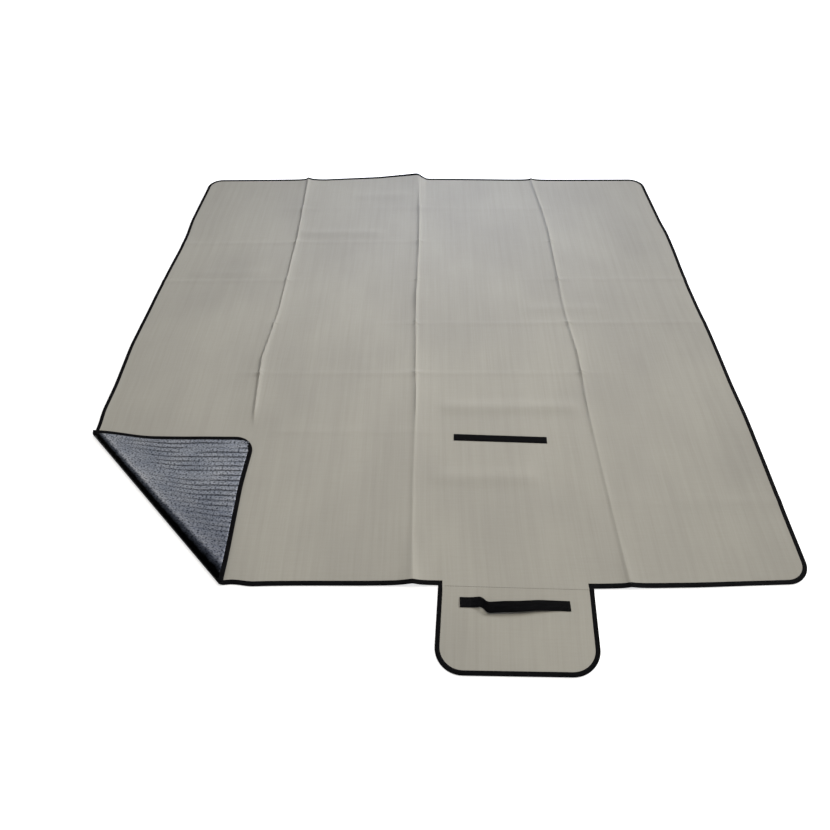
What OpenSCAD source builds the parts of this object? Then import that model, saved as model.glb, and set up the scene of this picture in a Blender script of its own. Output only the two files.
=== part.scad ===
// Folding ground mat: a square sheet of woven fabric on thin foam with a metallised film
// underside, bound all round, creased into four columns, with one front corner turned over.
// A round-ended closure flap with a webbing handle grows from the front edge.
// Millimetres. +X to the right, +Y away from the flap, +Z up. Origin: on the ground, under
// the middle of the whole outline.

/* [Mat] */
// Width across the four columns
mat_w = 2000; // [1900:10:2600]
// Depth from the front edge to the back edge
mat_d = 2000; // [1200:10:2600]
// Radius of the mat's corners
corner_r = 60; // [25:5:90]

/* [Layers] */
// Thickness of the metallised film underneath
film_t = 0.4; // [0.2:0.05:0.8]
// Thickness of the foam core
foam_t = 2.2; // [1.6:0.1:4]
// Thickness of the woven top fabric
fabric_t = 0.6; // [0.4:0.05:1]

/* [Binding] */
// Width of the binding tape that shows on each face
bind_w = 11; // [8:0.5:16]
// Thickness of the binding tape
bind_t = 0.6; // [0.4:0.05:0.9]
// Distance of the stitch line from the binding's inner edge
stitch_inset = 2.5; // [1.5:0.25:4]
// Width of a stitch line
thread_w = 0.8; // [0.5:0.1:1.2]
// Height that a stitch line stands proud
thread_h = 0.3; // [0.2:0.05:0.5]

/* [Creases] */
// Gap between two columns at a crease
crease_gap = 0.4; // [0.3:0.1:1]
// Free height between two layers that are folded together
fold_clear = 7.2; // [1:0.2:12]
// Height of the flap's two fold axes, which bend softly
flap_bend = 15; // [6:0.5:20]

/* [Turned corner] */
// Distance from the end of the corner's fold to the first crease
fold_inset = 4; // [2:1:20]
// Radius of the soft roll at the corner's fold
roll_r = 8; // [6:0.5:12]
// Free height under the tip of the turned corner
tip_clear = 0.4; // [0.3:0.1:2]

/* [Flap] */
// Width of the closure flap
flap_w = 394; // [330:2:440]
// Length of the flap from the mat's front edge
flap_len = 230; // [190:2:280]
// Radius of the flap's two outer corners
flap_r = 70; // [30:2:90]
// Distance from the middle crease to the near side of the flap
flap_side = 50; // [20:1:58]
// Distance from the mat's front edge to the flap's first fold
root_len = 5; // [4:0.5:12]
// Distance from the mat's front edge to the flap's second fold
spine_len = 110; // [90:1:118]

/* [Handle] */
// Length of the webbing handle over its sewn ends
handle_len = 274; // [200:2:320]
// Width of the webbing
web_w = 27; // [20:1:36]
// Thickness of the webbing
web_t = 2; // [1:0.1:3]
// Length of each sewn end
tab_len = 30; // [22:1:40]
// Height that the slack middle of the handle stands above its ends
arch_h = 11; // [8:0.5:20]
// Length of the slope from a sewn end up to the middle
ramp_len = 62; // [40:1:70]
// Distance of the handle's middle line from the mat's front edge
handle_out = 55; // [45:1:65]

/* [Hook and loop closure] */
// Length of the loop strip and of the hook strip
closure_len = 280; // [200:2:320]
// Width of the loop strip and of the hook strip
closure_w = 25; // [20:1:38]
// Thickness of the woven tape behind the loops
tape_t = 0.7; // [0.4:0.05:1]
// Height of the loop pile on its tape
pile_h = 1.1; // [0.6:0.1:2]
// Plain margin of the tape around the pile
tape_margin = 2.5; // [1.5:0.25:4]
// Distance of the loop strip from the mat's front edge
closure_in = 472; // [200:2:560]
// Turn of the loop strip, as it was sewn on
closure_turn = -2.3; // [-4:0.1:4]
// Thickness of the hook strip under the flap
hook_t = 1.4; // [0.8:0.1:1.6]
// Distance of the hook strip's middle line from the flap's end
hook_out = 42; // [34:1:60]

/* [Hidden] */
$fn = 64;

// Heights
body_t = film_t + foam_t + fabric_t;          // the layers without the binding
edge_t = body_t + bind_t;                     // the binding's top face
loop_top = body_t + tape_t + pile_h;          // top of the loop strip

// Plan: the front and back edges, and the four columns
front_y = (flap_len - mat_d) / 2;
back_y = (flap_len + mat_d) / 2;
left_x = -mat_w / 2;
col_w = mat_w / 4;
reach = mat_w + mat_d;                        // longer than any cut needs to be

// Fold axes: each lies high enough to clear what is folded between the layers
right_fold_z = (edge_t + max(edge_t, loop_top) + fold_clear) / 2;
left_fold_z = (edge_t + 2 * roll_r + fold_clear) / 2;
middle_fold_z = left_fold_z + right_fold_z + fold_clear / 2;
flap_fold_z = flap_bend;
echo(fold_axis_heights = [right_fold_z, left_fold_z, middle_fold_z, flap_fold_z]);

// Turned corner: it falls from the roll to its tip
fold_leg = col_w - fold_inset;
tip_reach = fold_leg / sqrt(2);
tip_fall = asin((2 * roll_r - edge_t - body_t - tip_clear) / tip_reach);

// Flap, handle and closure
flap_x = flap_side + flap_w / 2;
handle_y = front_y - handle_out;
hook_y = front_y - flap_len + hook_out;
loop_y = front_y + closure_in;
strap_lift = 0.3;                             // the free webbing clears the fabric
tab_x = (handle_len - tab_len) / 2;           // middle of a sewn end, from the handle's middle
strap_half = handle_len / 2 - tab_len - crease_gap;
stitch_in = bind_w - stitch_inset;

fabric_grey = [0.66, 0.66, 0.62];
foam_white = [0.88, 0.88, 0.86];
film_silver = [0.52, 0.54, 0.57];
tape_black = [0.08, 0.08, 0.085];
thread_black = [0.14, 0.14, 0.15];
webbing_black = [0.06, 0.06, 0.065];

// ---- plan shapes ----------------------------------------------------------

// A rectangle from [x0, y0] to [x1, y1] with all four corners rounded
module rounded(x0, y0, x1, y1, r) {
    translate([x0 + r, y0]) square([x1 - x0 - 2 * r, y1 - y0]);
    translate([x0, y0 + r]) square([x1 - x0, y1 - y0 - 2 * r]);
    for (x = [x0 + r, x1 - r], y = [y0 + r, y1 - r]) translate([x, y]) circle(r = r);
}

// The mat's outline moved inwards, with the short apron that carries the flap
module mat_shape(inset) {
    rounded(left_x + inset, front_y + inset, -left_x - inset, back_y - inset, corner_r - inset);
    translate([flap_x - flap_w / 2 + inset, front_y - root_len])
        square([flap_w - 2 * inset, root_len + corner_r]);
}

// The flap's outline moved inwards on its free sides
module flap_shape(inset) {
    y_end = front_y - flap_len + inset;
    y_root = front_y - root_len - crease_gap;
    r = flap_r - inset;
    difference() {
        rounded(flap_x - flap_w / 2 + inset, y_end, flap_x + flap_w / 2 - inset,
                y_root + 2 * flap_r, r);
        translate([-reach, y_root]) square([2 * reach, reach]);
    }
}

module shape(inset, on_flap) {
    if (on_flap) flap_shape(inset);
    else mat_shape(inset);
}

// The band between two insets
module band(outer, inner, on_flap) {
    difference() {
        shape(outer, on_flap);
        shape(inner, on_flap);
    }
}

// ---- layers over the whole mat or the whole flap --------------------------

// Film: flat underneath, and stepped up over the binding's lower leg
module film(on_flap) {
    linear_extrude(film_t) shape(bind_w, on_flap);
    linear_extrude(bind_t + film_t) band(bind_w, bind_w + film_t, on_flap);
    translate([0, 0, bind_t]) linear_extrude(film_t) band(bind_t, bind_w + film_t, on_flap);
}

// Foam: thinner where the binding grips it
module foam(on_flap) {
    translate([0, 0, film_t]) linear_extrude(foam_t) shape(bind_w + film_t, on_flap);
    translate([0, 0, bind_t + film_t]) linear_extrude(foam_t - bind_t) shape(bind_t, on_flap);
}

module fabric(on_flap) {
    translate([0, 0, film_t + foam_t]) linear_extrude(fabric_t) shape(bind_t, on_flap);
}

// Binding: one tape folded round the edge, under, outside and over
module binding(on_flap) {
    difference() {
        linear_extrude(edge_t) band(0, bind_w, on_flap);
        translate([0, 0, bind_t]) linear_extrude(body_t - bind_t)
            band(bind_t, bind_w + 1, on_flap);
    }
}

// One line of stitches along the binding
module binding_thread(on_flap) {
    translate([0, 0, edge_t]) linear_extrude(thread_h)
        band(stitch_in - thread_w, stitch_in, on_flap);
}

// ---- what cuts the layers into columns, corner, spine and tongue ----------

// A slab between two values of x; high enough for every layer
module column_cut(x0, x1) {
    translate([x0 + crease_gap / 2, -reach, -1])
        cube([x1 - x0 - crease_gap, 2 * reach, 4 * edge_t]);
}

// Everything on the corner's side of its fold, moved by shift
module corner_cut(shift) {
    translate([left_x, front_y + fold_leg, -1]) rotate([0, 0, -45])
        translate([-reach / 2, -reach - shift, 0]) cube([reach, reach, 4 * edge_t]);
}

module left_cut() {
    difference() {
        column_cut(left_x - 1, left_x + col_w);
        corner_cut(-crease_gap / 2);
    }
}

// A slab between two distances in front of the mat's front edge
module flap_cut(near, far) {
    translate([-reach, front_y - far + crease_gap / 2, -1])
        cube([2 * reach, far - near - crease_gap, 4 * edge_t]);
}

module spine_cut() { flap_cut(-reach / 2, spine_len); }
module tongue_cut() { flap_cut(spine_len, reach); }

// The corner is cut flat, then turned over about its fold
module turned() {
    translate([left_x, front_y + fold_leg, roll_r]) rotate(a = 180 + tip_fall, v = [-1, 1, 0])
        translate([-left_x, -front_y - fold_leg, -roll_r]) intersection() {
            children();
            corner_cut(crease_gap / 2);
        }
}

// ---- left column -----------------------------------------------------------

module left_fabric() { color(fabric_grey) intersection() { fabric(false); left_cut(); } }
module left_foam() { color(foam_white) intersection() { foam(false); left_cut(); } }
module left_film() { color(film_silver) intersection() { film(false); left_cut(); } }
module left_binding() { color(tape_black) intersection() { binding(false); left_cut(); } }
module left_binding_thread() {
    color(thread_black) intersection() { binding_thread(false); left_cut(); }
}

// ---- the three other columns -----------------------------------------------

// Column 1 is inner left, 2 inner right, 3 right
module in_column(i) {
    x0 = left_x + i * col_w;
    intersection() {
        children();
        column_cut(x0, i == 3 ? x0 + col_w + 1 : x0 + col_w);
    }
}

module inner_left_fabric() { color(fabric_grey) in_column(1) fabric(false); }
module inner_left_foam() { color(foam_white) in_column(1) foam(false); }
module inner_left_film() { color(film_silver) in_column(1) film(false); }
module inner_left_binding() { color(tape_black) in_column(1) binding(false); }
module inner_left_binding_thread() { color(thread_black) in_column(1) binding_thread(false); }

module inner_right_fabric() { color(fabric_grey) in_column(2) fabric(false); }
module inner_right_foam() { color(foam_white) in_column(2) foam(false); }
module inner_right_film() { color(film_silver) in_column(2) film(false); }
module inner_right_binding() { color(tape_black) in_column(2) binding(false); }
module inner_right_binding_thread() { color(thread_black) in_column(2) binding_thread(false); }

module right_fabric() { color(fabric_grey) in_column(3) fabric(false); }
module right_foam() { color(foam_white) in_column(3) foam(false); }
module right_film() { color(film_silver) in_column(3) film(false); }
module right_binding() { color(tape_black) in_column(3) binding(false); }
module right_binding_thread() { color(thread_black) in_column(3) binding_thread(false); }

// ---- turned corner ---------------------------------------------------------

module corner_fabric() { color(fabric_grey) turned() fabric(false); }
module corner_foam() { color(foam_white) turned() foam(false); }
module corner_film() { color(film_silver) turned() film(false); }
module corner_binding() { color(tape_black) turned() binding(false); }
module corner_binding_thread() { color(thread_black) turned() binding_thread(false); }

// The soft roll that joins the corner to its column: half a tube along the fold
module corner_roll() {
    roll_len = fold_leg * sqrt(2);
    color(film_silver) intersection() {
        translate([left_x, front_y + fold_leg, roll_r]) rotate([0, 0, -45]) rotate([90, 0, 90])
            linear_extrude(roll_len) difference() {
                circle(r = roll_r);
                circle(r = roll_r - body_t);
                translate([-crease_gap, -2 * roll_r]) square([4 * roll_r, 4 * roll_r]);
            }
        translate([left_x, front_y, 0]) cube([fold_leg, fold_leg, 2 * roll_r]);
    }
}

// ---- loop strip on the inner right column ----------------------------------

module strip_plate(margin, h) {
    linear_extrude(h) square([closure_len - 2 * margin, closure_w - 2 * margin], center = true);
}

// A closed line of stitches, inset from the strip's outline
module strip_stitches(margin) {
    difference() {
        strip_plate(margin, thread_h);
        translate([0, 0, -1]) strip_plate(margin + thread_w, thread_h + 2);
    }
}

module on_loop_place(z) {
    translate([flap_x, loop_y, z]) rotate([0, 0, closure_turn]) children();
}

module loop_tape() { color(tape_black) on_loop_place(body_t) strip_plate(0, tape_t); }
module loop_pile() {
    color(webbing_black) on_loop_place(body_t + tape_t) strip_plate(tape_margin, pile_h);
}
module loop_tape_thread() {
    color(thread_black) on_loop_place(body_t + tape_t)
        strip_stitches((tape_margin - thread_w) / 2);
}

// ---- flap spine, with the handle -------------------------------------------

module spine_fabric() { color(fabric_grey) intersection() { fabric(true); spine_cut(); } }
module spine_foam() { color(foam_white) intersection() { foam(true); spine_cut(); } }
module spine_film() { color(film_silver) intersection() { film(true); spine_cut(); } }
module spine_binding() { color(tape_black) intersection() { binding(true); spine_cut(); } }
module spine_binding_thread() {
    color(thread_black) intersection() { binding_thread(true); spine_cut(); }
}

// The seam that sews the flap on, just outside its first fold
module root_seam_thread() {
    color(thread_black)
        translate([flap_x - flap_w / 2 + bind_w + 1, front_y - root_len - 3, body_t])
            cube([flap_w - 2 * bind_w - 2, thread_w, thread_h]);
}

module handle_tab(side) {
    translate([flap_x + side * tab_x - tab_len / 2, handle_y - web_w / 2, body_t])
        cube([tab_len, web_w, web_t]);
}

// A box of stitches with a cross in it, on a sewn end
module tab_stitch(side) {
    w = tab_len - 8;
    h = web_w - 8;
    translate([flap_x + side * tab_x, handle_y, body_t + web_t]) linear_extrude(thread_h) {
        difference() {
            square([w, h], center = true);
            square([w - 2 * thread_w, h - 2 * thread_w], center = true);
        }
        for (turn = [-1, 1]) intersection() {
            square([w, h], center = true);
            rotate(turn * atan2(h, w)) square([2 * w, thread_w], center = true);
        }
    }
}

module handle_tab_left() { color(webbing_black) handle_tab(-1); }
module handle_tab_right() { color(webbing_black) handle_tab(1); }
module tab_stitch_left() { color(thread_black) tab_stitch(-1); }
module tab_stitch_right() { color(thread_black) tab_stitch(1); }

// The free webbing: up from each sewn end, level over the middle
function strap_z(x) =
    let (along = min(1, (strap_half - abs(x)) / ramp_len))
    arch_h * (1 - cos(180 * along)) / 2;

module handle_strap() {
    steps = 28;
    low = [for (i = [0 : steps]) let (x = strap_half * (2 * i / steps - 1)) [x, strap_z(x)]];
    high = [for (i = [0 : steps]) [low[steps - i][0], low[steps - i][1] + web_t]];
    color(webbing_black) translate([flap_x, handle_y + web_w / 2, body_t + strap_lift])
        rotate([90, 0, 0]) linear_extrude(web_w) polygon(concat(low, high));
}

// ---- flap tongue, with the hook strip under it ------------------------------

// The strip's own room, with a margin all round
module hook_room(margin, z0, z1) {
    translate([flap_x, hook_y, z0])
        linear_extrude(z1 - z0)
            square([closure_len + 2 * margin, closure_w + 2 * margin], center = true);
}

module tongue_fabric() { color(fabric_grey) intersection() { fabric(true); tongue_cut(); } }

// The foam gives way over the hook strip
module tongue_foam() {
    color(foam_white) difference() {
        intersection() { foam(true); tongue_cut(); }
        hook_room(film_t, -1, hook_t + film_t);
    }
}

// The film runs up and over the hook strip
module tongue_film() {
    color(film_silver) {
        difference() {
            intersection() { film(true); tongue_cut(); }
            hook_room(0, -1, 1);
        }
        difference() {
            hook_room(film_t, 0, hook_t + film_t);
            hook_room(0, -1, hook_t);
        }
    }
}

module tongue_binding() { color(tape_black) intersection() { binding(true); tongue_cut(); } }
module tongue_binding_thread() {
    color(thread_black) intersection() { binding_thread(true); tongue_cut(); }
}

// Hook strip: its face is level with the film, with a groove for its stitches
module hook_groove(extra) {
    translate([0, 0, -extra]) linear_extrude(thread_h + extra) difference() {
        square([closure_len - 2 * tape_margin, closure_w - 2 * tape_margin], center = true);
        square([closure_len - 2 * tape_margin - 2 * thread_w,
                closure_w - 2 * tape_margin - 2 * thread_w], center = true);
    }
}

module hook_tape() {
    color(webbing_black) translate([flap_x, hook_y, 0]) difference() {
        strip_plate(0, hook_t);
        hook_groove(1);
    }
}
module hook_tape_thread() { color(thread_black) translate([flap_x, hook_y, 0]) hook_groove(0); }

// ---- nodes -------------------------------------------------------------------

left_fabric();
left_foam();
left_film();
left_binding();
left_binding_thread();
inner_left_fabric();
inner_left_foam();
inner_left_film();
inner_left_binding();
inner_left_binding_thread();
inner_right_fabric();
inner_right_foam();
inner_right_film();
inner_right_binding();
inner_right_binding_thread();
loop_tape();
loop_pile();
loop_tape_thread();
right_fabric();
right_foam();
right_film();
right_binding();
right_binding_thread();
corner_fabric();
corner_foam();
corner_film();
corner_binding();
corner_binding_thread();
corner_roll();
spine_fabric();
spine_foam();
spine_film();
spine_binding();
spine_binding_thread();
root_seam_thread();
handle_tab_left();
handle_tab_right();
tab_stitch_left();
tab_stitch_right();
handle_strap();
tongue_fabric();
tongue_foam();
tongue_film();
tongue_binding();
tongue_binding_thread();
hook_tape();
hook_tape_thread();
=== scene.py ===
# %% [markdown]
# # A folding ground mat, laid open
#
# The mat is one soft laminate: a woven top on thin foam, with a metallised film underneath. A black
# tape binds its edge. Three lengthwise creases divide it into four columns. The front left corner
# is turned over, so its film shows. A flap with a webbing handle grows from the front edge.
#
# Every soft piece is first drawn flat, as it was cut, and then laid down by one of a few placing
# functions. All pieces share those functions, so tape, stitches and sheets always meet.

# %% Load the frame
import math
import bpy
import numpy as np
from mathutils import Matrix, Vector


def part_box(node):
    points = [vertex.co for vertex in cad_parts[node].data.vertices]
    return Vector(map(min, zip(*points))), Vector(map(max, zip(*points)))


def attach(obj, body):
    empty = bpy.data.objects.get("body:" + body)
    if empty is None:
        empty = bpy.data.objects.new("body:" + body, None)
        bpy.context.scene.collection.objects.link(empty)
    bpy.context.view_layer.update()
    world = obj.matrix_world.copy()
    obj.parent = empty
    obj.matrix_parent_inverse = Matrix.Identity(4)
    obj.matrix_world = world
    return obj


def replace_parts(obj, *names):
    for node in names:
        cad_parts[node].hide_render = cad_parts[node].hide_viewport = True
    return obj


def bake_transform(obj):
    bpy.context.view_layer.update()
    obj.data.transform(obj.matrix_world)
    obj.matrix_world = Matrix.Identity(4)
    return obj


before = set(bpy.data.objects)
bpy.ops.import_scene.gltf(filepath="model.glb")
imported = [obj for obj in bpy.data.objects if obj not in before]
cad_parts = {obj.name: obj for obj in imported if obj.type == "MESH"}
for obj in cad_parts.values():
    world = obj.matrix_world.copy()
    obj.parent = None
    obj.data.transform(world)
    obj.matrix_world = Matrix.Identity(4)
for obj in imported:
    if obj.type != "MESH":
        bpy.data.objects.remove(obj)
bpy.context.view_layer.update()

# %% [markdown]
# ## Sizes
# The outline, the layer heights and the fold axes come from the frame. The few sizes that a box
# cannot tell are named here in metres. MITRE is the run over which the tape's section turns at a
# fold or an inner corner. LAP is how far one sewn or glued piece sits into the next, so no gap shows
# between them. SPINE and TONGUE are the two lengths of the flap, and SEAM is where the mat's wide
# sheets meet, in the middle of the inner columns.

# %% Sizes from the frame
MM = 0.001
LEFT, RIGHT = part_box("left_binding")[0].x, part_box("right_binding")[1].x
FRONT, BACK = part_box("right_binding")[0].y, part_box("right_binding")[1].y
BODY_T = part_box("inner_left_fabric")[1].z
EDGE_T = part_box("inner_left_binding")[1].z
FILM_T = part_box("left_film")[1].z - 0.6 * MM
COLUMN = (RIGHT - LEFT) / 4
FLAP_LEFT, FLAP_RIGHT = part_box("tongue_binding")[0].x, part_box("tongue_binding")[1].x
FLAP_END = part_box("tongue_binding")[0].y
FOLD_LEG = 0.496
ROLL_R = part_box("corner_roll")[1].z / 2
TIP_FALL = math.radians(1.405)
CORNER_R, FLAP_R = 60 * MM, 70 * MM
TAPE_W, TAPE_T = 12 * MM, 0.6 * MM
MITRE, LAP, SPINE, TONGUE = 14 * MM, 0.02 * MM, 60 * MM, 170 * MM
SEAM = COLUMN / 2
FOLD_A = np.array([LEFT, FRONT + FOLD_LEG])
FOLD_B = np.array([LEFT + FOLD_LEG, FRONT])
FOLD_ALONG = np.array([1.0, -1.0]) / math.sqrt(2)
FOLD_OUT = np.array([-1.0, -1.0]) / math.sqrt(2)
FOLD_LEN = FOLD_LEG * math.sqrt(2)
print(f"mat {RIGHT - LEFT:.3f} x {BACK - FRONT:.3f} m, layers {BODY_T * 1000:.1f} mm")

# %% [markdown]
# ## Camera
# A standing person looks down at the mat from just beyond the flap, through a slightly wide lens.
# The camera is turned a little to the left and held almost level.

# %% Camera
def aim(pitch, yaw, roll):
    """A camera's rotation from degrees below the horizon, to the left, and of tilt."""
    t, y, r = (math.radians(v) for v in (pitch, yaw, roll))
    side = Vector((math.cos(y), math.sin(y), 0))
    ahead = Vector((-math.sin(y) * math.cos(t), math.cos(y) * math.cos(t), -math.sin(t)))
    down = ahead.cross(side)
    right = side * math.cos(r) - down * math.sin(r)
    up = -(side * math.sin(r) + down * math.cos(r))
    return Matrix((right, up, -ahead)).transposed()


camera = bpy.data.objects.new("camera", bpy.data.cameras.new("camera"))
camera.data.lens = 28.59
camera.data.sensor_width = 36
camera.matrix_world = Matrix.Translation((0.036, FRONT - 0.789, 1.552)) @ aim(48.75, 2.0, -1.5).to_4x4()
bpy.context.scene.collection.objects.link(camera)
bpy.context.scene.camera = camera
print("camera at", tuple(round(v, 3) for v in camera.location))

# %% [markdown]
# ## How the mat lies
# A mat that was stored folded never lies quite flat. Its creases stand up as soft ridges, which
# wander off the fold line and kink where the rows of a second fold crossed them. Those rows leave
# faint lines across the mat. A cloth simulation would give other waves each time, so the height
# is a formula: every layer can follow it exactly, and the folded poses keep their clearances.

# %% Ridges, rows and edges
ROW = 0.25


def along(points, s):
    """Reads a list of (millimetres from the front edge, millimetres) with slightly soft kinks."""
    at, value = np.array(points, float).T * MM
    near = [np.interp(s + d, at, value) for d in (-0.018, 0.0, 0.018)]
    return sum(near) / 3


# Pairs of millimetres: from the front edge, then the crease's wander, height or half width there.
CREASES = [
    {"x": LEFT + COLUMN, "lean": 0.30,
     "wander": [(0, 8), (440, 8), (560, -16), (820, -34), (1070, -14), (1540, -8), (2000, -19)],
     "height": [(0, 3), (440, 3), (600, 7), (820, 9), (1000, 6), (1540, 8), (1900, 8), (2000, 10)],
     "width": [(0, 12), (300, 8), (1800, 7), (1960, 12), (2000, 16)]},
    {"x": 0.0, "lean": -0.25,
     "wander": [(0, -12), (320, -13), (630, -9), (860, -13), (1130, -15), (1530, -8), (2000, -13)],
     "height": [(0, 11), (60, 7), (150, 3), (500, 3), (600, 7), (1070, 8), (1130, 12), (1170, 12),
                (1250, 8), (1500, 10), (1800, 9), (1900, 4), (2000, 3)],
     "width": [(0, 30), (60, 18), (150, 8), (1900, 7), (2000, 9)]},
    {"x": RIGHT - COLUMN, "lean": 0.30,
     "wander": [(0, 41), (320, 33), (600, 28), (830, 33), (1080, 17), (1560, 20), (1720, 12),
                (2000, -12)],
     "height": [(0, 7), (60, 5), (130, 3), (500, 4), (830, 8), (1000, 5), (1200, 7), (1560, 8),
                (1850, 7), (2000, 7)],
     "width": [(0, 22), (60, 14), (150, 8), (1850, 7), (1960, 11), (2000, 14)]},
]
# Pairs of millimetres: along the edge, then how far the edge lies off its straight line.
EDGE_LEFT = [(0, 0), (500, 0), (560, -5), (700, -2), (890, -8), (1100, 1), (1165, 3), (1260, 8), (1355, 13),
             (1455, 20), (1560, 23), (1670, 19), (1790, 24), (1915, 30), (2000, 30)]
EDGE_RIGHT = [(0, 4), (60, 7), (190, 8), (386, 11), (568, 13), (700, 9), (821, 9), (960, 8), (1069, 3),
              (1200, 0), (1318, 1), (1440, 3), (1561, 2), (1640, -5), (1760, -9), (2000, -17)]
EDGE_FRONT = [(-500, -9), (-150, -10), (50, -8), (250, -12), (440, -15), (600, -12), (720, -9), (850, -3),
              (1000, 3)]
# Shallow waves across a column: metres from the front, from and to in metres, height in millimetres.
BANDS = [(0.600, 0.08, 0.49, 4.9), (0.330, 0.05, 0.34, 3.6), (1.565, -0.50, -0.16, 4.6),
         (1.080, 0.38, 0.66, 2.6), (1.850, -0.30, -0.05, 3.0), (1.300, -0.90, -0.62, 1.8)]


def smooth(t):
    t = np.clip(t, 0, 1)
    return t * t * (3 - 2 * t)


def under_corner(x, s):
    """One where the turned corner lies on the mat and presses it flat, fading to nothing around it."""
    return smooth((-0.42 - x) / 0.07) * smooth((0.60 - s) / 0.09)


def height(x, y):
    """How far the mat's underside stands off the ground at a point of the flat cut.

    The terms are, in turn: a slow wave all over, the faint rows, the bands, each crease with its
    pinches and the small stars where a row crosses it, and the lifted back edge.
    """
    s = y - FRONT
    wave = 1.1 + 0.5 * np.sin(5.1 * x + 2.2 * s + 0.4) + 0.4 * np.sin(3.7 * s - 4.3 * x + 1.9)
    wave = wave + 0.3 * np.sin(11.3 * x + 0.7) * np.sin(9.1 * s + 2.1)
    rise = wave * MM
    row = np.abs(s / ROW - np.round(s / ROW)) * ROW
    share = 0.5 + 0.5 * np.sin(2.9 * x + 4.7 * np.round(s / ROW))
    within = smooth((s - 0.08) / 0.10) * smooth((1.92 - s) / 0.10)
    middle_rows = smooth((s - 0.64) / 0.06) * smooth((1.61 - s) / 0.06)
    rise = rise + 1.3 * MM * share * within * np.exp(-((row / 0.009) ** 2) / 2)
    for at, low, high, tall in BANDS:
        span = smooth((x - low + 0.03) / 0.06) * smooth((high + 0.03 - x) / 0.06)
        rise = rise + tall * MM * span * np.exp(-(((s - at) / 0.017) ** 2) / 2)
    for crease in CREASES:
        off = x - crease["x"] - along(crease["wander"], s)
        width = along(crease["width"], s)
        pinch = np.exp(-((row / 0.014) ** 2)) * within
        tall = along(crease["height"], s) * (1 + 0.30 * pinch)
        far = np.abs(off) / (0.55 * width * (1 + crease["lean"] * np.sign(off)))
        sharp = np.exp(-far * (far / (far + 0.4)))
        rise = rise + tall * (0.76 * sharp + 0.24 * np.exp(-((off / 0.028) ** 2) / 2))
        star = np.cos(3 * np.arctan2(s - ROW * np.round(s / ROW), off) + 9 * s + crease["lean"] * 8)
        rise = rise + 1.5 * MM * star * middle_rows * np.exp(-(off ** 2 + row ** 2) / 0.013 ** 2)
    back = np.exp(-(BACK - y) / 0.12)
    lifted = np.interp(x, [-0.44, -0.20, -0.035, -0.022, 0.018], [0.0, 0.40, 1.0, 1.0, 0.0])
    rise = rise + 19 * MM * back * lifted
    rise = rise * (1 - under_corner(x, s))
    return rise * np.where(y < FRONT, np.exp(-(FRONT - y) / 0.05), 1.0)


def drift(x, y):
    """The small sideways drift of the edges, which never lie dead straight."""
    s = y - FRONT
    dx = along(EDGE_LEFT, s) * smooth((-0.55 - x) / 0.4) + along(EDGE_RIGHT, s) * smooth((x - 0.60) / 0.4)
    near_flap = smooth((x + 0.10) / 0.15) * smooth((0.60 - x) / 0.15)
    askew = np.where(s > 0, 6 * MM * np.exp(-s / 0.10), (6 + 61 * np.minimum(s, 0)) * MM)
    dx = dx + near_flap * askew
    dy = -22 * MM * smooth((x + 0.1) / 0.8) * smooth((s - 1.3) / 0.7)
    dy = dy + along(EDGE_FRONT, x) * np.exp(-np.maximum(s, 0) / 0.14) * (1 + 2.4 * np.minimum(s, 0))
    lifted = np.interp(x, [-0.44, -0.20, -0.03, 0.03], [0.0, 0.4, 1.0, 0.0])
    dy = dy + 12 * MM * lifted * np.exp(-(BACK - y) / 0.10)
    return dx * (1 - under_corner(x, s)), dy * (1 - under_corner(x, s))


def past_fold(x, y):
    """Positive on the mat's side of the corner's fold, negative on the corner's side."""
    return (x - LEFT) + (y - FRONT) - FOLD_LEG


def pull(spot):
    """The front end of the corner's fold has slipped a little way along the fold line."""
    end = smooth((spot - FOLD_A) @ FOLD_ALONG / FOLD_LEN)
    near = np.exp(-((spot[..., 1] - FRONT) / 0.28) ** 2)
    return spot + np.stack([10 * MM * end * near, -10 * MM * end * near], -1)


def lie(x, y, up):
    """Lays a point of the flat cut on the ground: up is its height in the laminate."""
    dx, dy = drift(x, y)
    spot = np.stack([x + dx, y + dy], -1)
    beside_fold = np.exp(-np.maximum(past_fold(x, y), 0) / 0.10)[..., None]
    spot = spot + (pull(spot) - spot) * beside_fold
    return np.concatenate([spot, (height(x, y) + up)[..., None]], -1)


probe = np.linspace(0, 2, 9)
print("ridge heights, mm", np.round(height(np.full(9, -0.012), FRONT + probe) * 1000, 1))

# %% [markdown]
# ## The turned corner
# The corner is cut flat like the rest, then carried over its diagonal fold. It leaves a soft roll
# at the fold and settles on the mat towards its tip. The roll is a half turn of the laminate, placed
# by its own function because a sharp mirror fold would crush the foam to nothing.

# %% Placing the corner and its roll
def turn_over(x, y, up):
    """Carries a point of the flat corner over the fold; the film faces up."""
    flat = np.stack([x, y], -1) - FOLD_A
    p, q = flat @ FOLD_ALONG, np.maximum(flat @ FOLD_OUT, 1.5 * MM)
    spot = FOLD_A + p[..., None] * FOLD_ALONG - q[..., None] * FOLD_OUT
    spot = spot - np.stack([0 * q, 19 * MM * smooth((q - 0.01) / 0.13)], -1)
    spot = spot + np.stack([8 * MM * smooth((q - 0.20) / 0.14), 0 * q], -1)
    droop = 2.4 * MM * smooth(q / 0.06) * smooth((0.34 - q) / 0.20)
    ripple = 0.5 * MM * np.sin(q * 41) * np.sin(p * 19 + 0.8) * smooth(q / 0.08) * smooth((0.34 - q) / 0.1)
    top = 2 * ROLL_R - math.tan(TIP_FALL) * q - droop + ripple
    return np.concatenate([pull(spot), (top - up)[..., None]], -1)


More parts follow.
